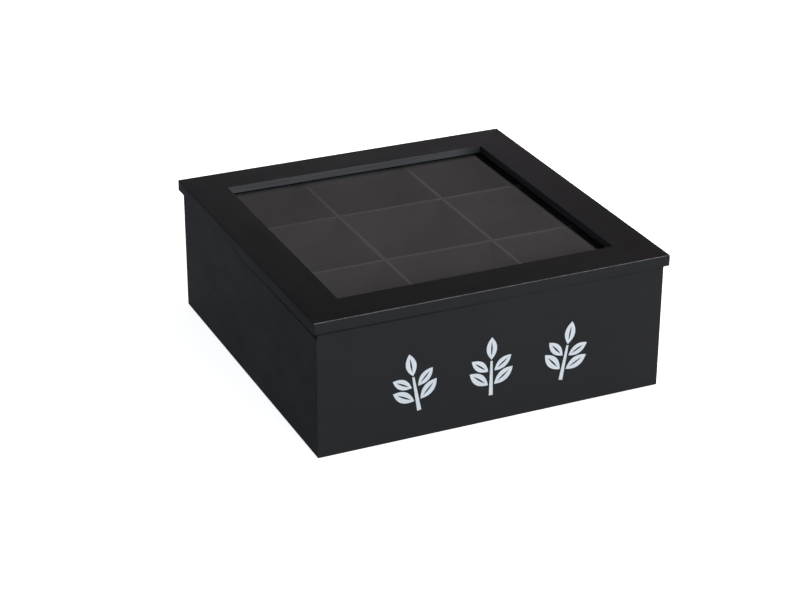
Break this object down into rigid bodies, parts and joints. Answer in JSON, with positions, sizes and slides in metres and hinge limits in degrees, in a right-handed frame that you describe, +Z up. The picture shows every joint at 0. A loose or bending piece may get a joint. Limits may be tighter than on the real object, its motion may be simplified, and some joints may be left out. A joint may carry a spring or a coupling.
{
  "type": "tea bag organizer box",
  "caption": "Low square painted wooden box with a hinged window lid over a grid of compartments for tea bags.",
  "frame": {"origin": "middle of the underside of the box", "axes": "+Z up, the front faces -Y, +X to the right as seen from the front; the hinges are at +Y"},
  "size_m": [0.235, 0.235, 0.09],
  "materials": {
    "outer_paint": "black satin paint over fine-grained wood board",
    "inner_paint": "thin matt black paint on the panel and dividers inside",
    "pane": "clear polished pane",
    "seal": "matt black soft bedding strip",
    "hinge_metal": "nickel plated, fine rolled grain",
    "screw_metal": "bright plated countersunk heads"
  },
  "bodies": {
    "box": {"front_wall": "outer_paint", "back_wall": "outer_paint", "left_wall": "outer_paint", "right_wall": "outer_paint", "base_panel": "inner_paint", "left_divider": "inner_paint", "right_divider": "inner_paint", "front_divider": "inner_paint", "rear_divider": "inner_paint", "left_hinge_wall_leaf": "hinge_metal", "right_hinge_wall_leaf": "hinge_metal", "left_hinge_pin": "hinge_metal", "right_hinge_pin": "hinge_metal", "wall_leaf_screws": "screw_metal"},
    "lid": {"lid_front_rail": "outer_paint", "lid_right_rail": "outer_paint", "lid_back_rail": "outer_paint", "lid_left_rail": "outer_paint", "window_pane": "pane", "pane_seal": "seal", "left_hinge_lid_leaf": "hinge_metal", "right_hinge_lid_leaf": "hinge_metal", "lid_leaf_screws": "screw_metal"}
  },
  "joints": [
    {"name": "lid_hinge", "type": "hinge", "parent": "box", "child": "lid", "pos_m": [0, 0.11543, 0.0825], "axis": [-1, 0, 0], "range_deg": [0, 100]}
  ]
}
